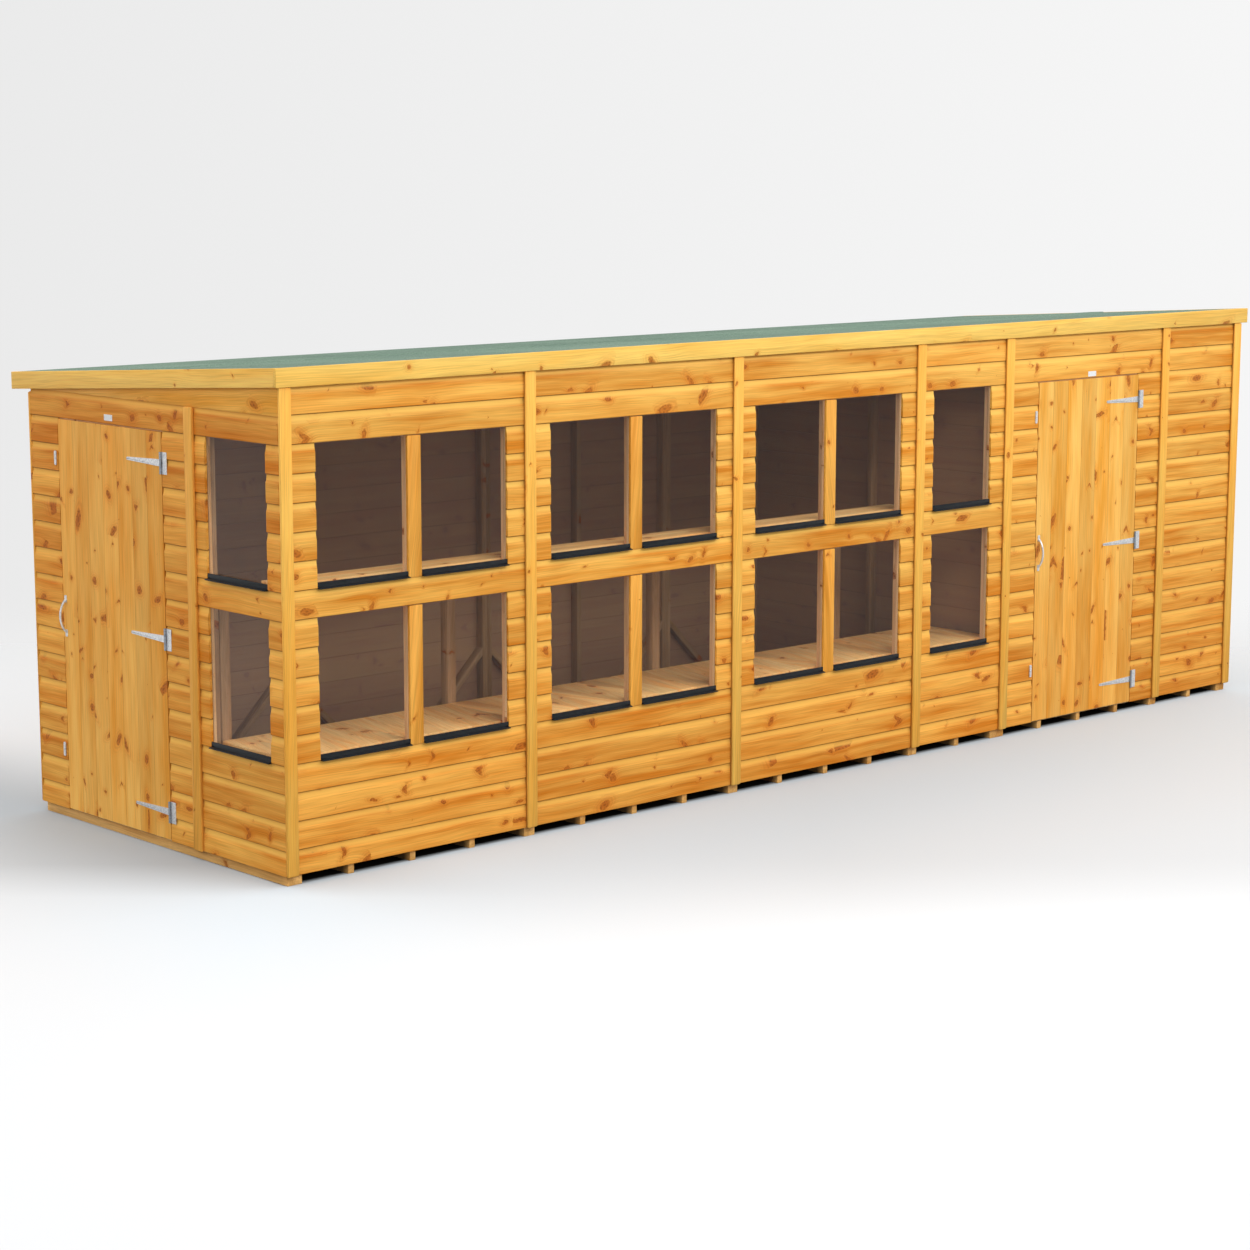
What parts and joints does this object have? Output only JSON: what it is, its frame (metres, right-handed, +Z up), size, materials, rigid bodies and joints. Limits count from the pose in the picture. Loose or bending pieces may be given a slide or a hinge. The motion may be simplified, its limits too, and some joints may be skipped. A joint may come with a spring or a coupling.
{
  "type": "potting shed",
  "caption": "Long timber potting shed with a shallow felt roof, shiplap walls, tall paired windows over a bench, an end door and a closed side store with its own door.",
  "frame": {"origin": "on the ground under the middle joist of the third front panel, halfway between the front and back cladding faces", "axes": "+Z up, +X along the long front wall to the right seen from the front, +Y from front to back"},
  "size_m": [6.075, 1.915, 1.978],
  "materials": {
    "shiplap": "dip-treated softwood boards, satin",
    "trim_timber": "planed softwood trim, satin",
    "frame_timber": "planed softwood framing, matte",
    "door_boards": "tongued softwood boards, satin",
    "sheet_board": "pressed strand board, matte",
    "felt": "mineral-faced roofing felt, matte",
    "glazing": "clear sheet",
    "sill_plastic": "black extruded strip",
    "zinc_steel": "bright zinc plate"
  },
  "bodies": {
    "shed": {"back_braces": "frame_timber", "back_cladding": "shiplap", "back_cover_strips": "trim_timber", "back_frames": "frame_timber", "bench_boards": "frame_timber", "bench_supports": "frame_timber", "end_cover_strips": "trim_timber", "end_fascias": "trim_timber", "end_wedge_boards": "shiplap", "end_wedge_rafters": "frame_timber", "floor_joists": "frame_timber", "floor_sheets": "sheet_board", "front_cladding_1": "shiplap", "front_cladding_2": "shiplap", "front_cladding_3": "shiplap", "front_cladding_4": "shiplap", "front_cladding_5": "shiplap", "front_cladding_6": "shiplap", "front_cover_strips": "trim_timber", "front_fascia": "trim_timber", "front_frame_1": "frame_timber", "front_frame_2": "frame_timber", "front_frame_3": "frame_timber", "front_frame_4": "frame_timber", "front_frame_5": "frame_timber", "front_frame_6": "frame_timber", "glazing_beads": "frame_timber", "hinge_pins": "zinc_steel", "hinge_plates": "zinc_steel", "left_door_cladding": "shiplap", "left_door_frame": "frame_timber", "left_window_cladding": "shiplap", "left_window_frame": "frame_timber", "partition_cladding": "shiplap", "partition_frame": "frame_timber", "rafters": "frame_timber", "right_cladding": "shiplap", "right_frames": "frame_timber", "roof_felt": "felt", "roof_sheets": "sheet_board", "shelf_boards": "frame_timber", "shelf_brackets": "frame_timber", "sill_strips": "sill_plastic", "turn_button_screws": "zinc_steel", "window_mullions": "shiplap", "window_panes": "glazing"},
    "left_door": {"left_door_boards": "door_boards", "left_door_ledges": "frame_timber", "left_hinge_straps": "zinc_steel", "left_handle": "zinc_steel"},
    "front_door": {"front_door_boards": "door_boards", "front_door_ledges": "frame_timber", "front_hinge_straps": "zinc_steel", "front_handle": "zinc_steel"},
    "left_upper_button": {"left_upper_turn_button": "zinc_steel"},
    "left_lower_button": {"left_lower_turn_button": "zinc_steel"},
    "front_upper_button": {"front_upper_turn_button": "zinc_steel"},
    "front_lower_button": {"front_lower_turn_button": "zinc_steel"}
  },
  "joints": [
    {"name": "left_door_hinge", "type": "hinge", "parent": "shed", "child": "left_door", "pos_m": [-2.9865, -0.0975, 0.861], "axis": [0, 0, 1], "range_deg": [0, 165]},
    {"name": "front_door_hinge", "type": "hinge", "parent": "shed", "child": "front_door", "pos_m": [2.1965, -0.8865, 0.861], "axis": [0, 0, 1], "range_deg": [0, 165]},
    {"name": "left_upper_button_pivot", "type": "hinge", "parent": "shed", "child": "left_upper_button", "pos_m": [-2.984, 0.688, 1.522], "axis": [1, 0, 0], "range_deg": [0, 90]},
    {"name": "left_lower_button_pivot", "type": "hinge", "parent": "shed", "child": "left_lower_button", "pos_m": [-2.984, 0.688, 0.296], "axis": [1, 0, 0], "range_deg": [0, 90]},
    {"name": "front_upper_button_pivot", "type": "hinge", "parent": "shed", "child": "front_upper_button", "pos_m": [1.411, -0.884, 1.522], "axis": [0, 1, 0], "range_deg": [0, 90]},
    {"name": "front_lower_button_pivot", "type": "hinge", "parent": "shed", "child": "front_lower_button", "pos_m": [1.411, -0.884, 0.296], "axis": [0, 1, 0], "range_deg": [0, 90]}
  ]
}
